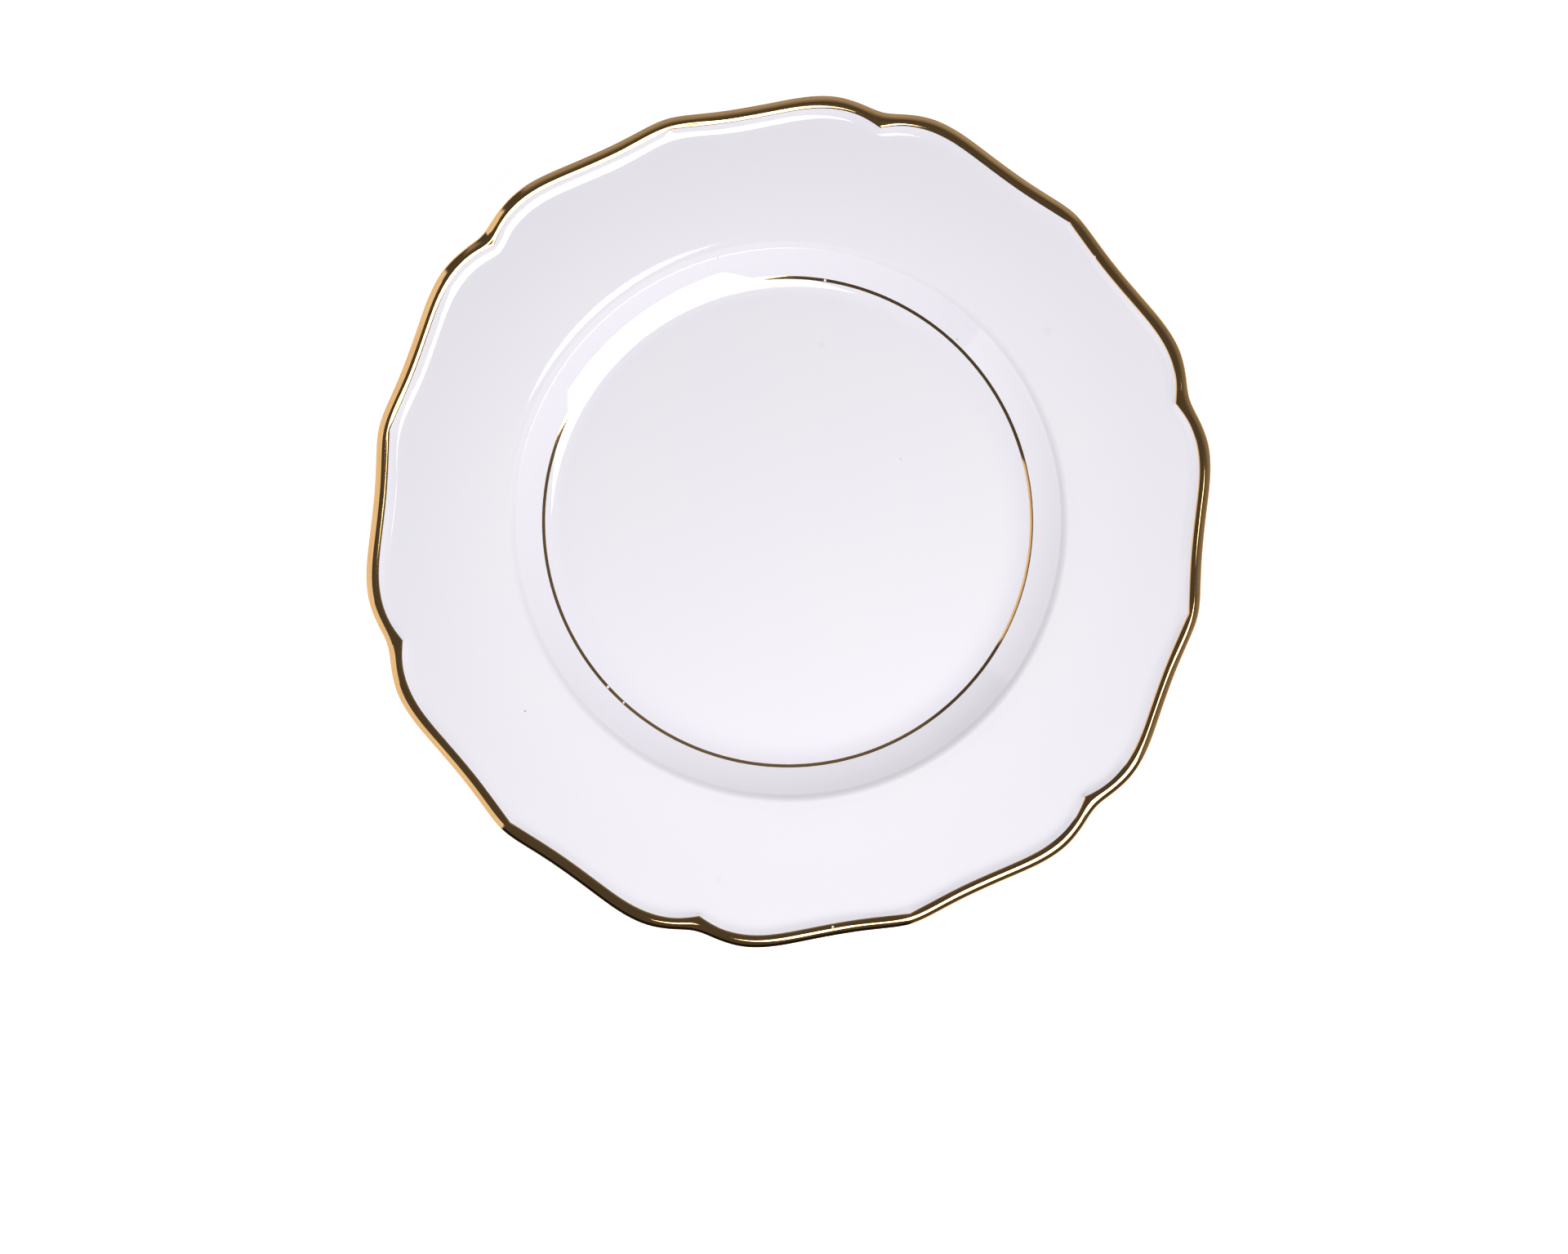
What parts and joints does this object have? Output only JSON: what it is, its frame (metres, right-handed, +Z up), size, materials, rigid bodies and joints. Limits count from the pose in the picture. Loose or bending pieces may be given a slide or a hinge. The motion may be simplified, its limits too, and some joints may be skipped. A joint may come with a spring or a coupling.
{
  "type": "dinner plate",
  "caption": "Round porcelain dinner plate with a softly scalloped, raised and gilded lip, a sloping rim, a flat well and a foot ring underneath.",
  "frame": {"origin": "on the plate's axis, in the plane the foot ring stands on", "axes": "+Z up along the plate's axis of symmetry, towards the eating side; +X through a notch between two lobes"},
  "size_m": [0.2684, 0.2658, 0.0215],
  "materials": {
    "biscuit": "unglazed fired porcelain, matt and finely ground on the foot",
    "glaze": "clear glossy glaze over cool white porcelain",
    "gilding": "burnished fired-on gold, mirror bright with fine brush streaks"
  },
  "bodies": {
    "root": {"porcelain_body": "biscuit", "outer_glaze": "glaze", "foot_recess_glaze": "glaze", "rim_gilding": "gilding", "well_gold_line": "gilding"}
  },
  "joints": []
}
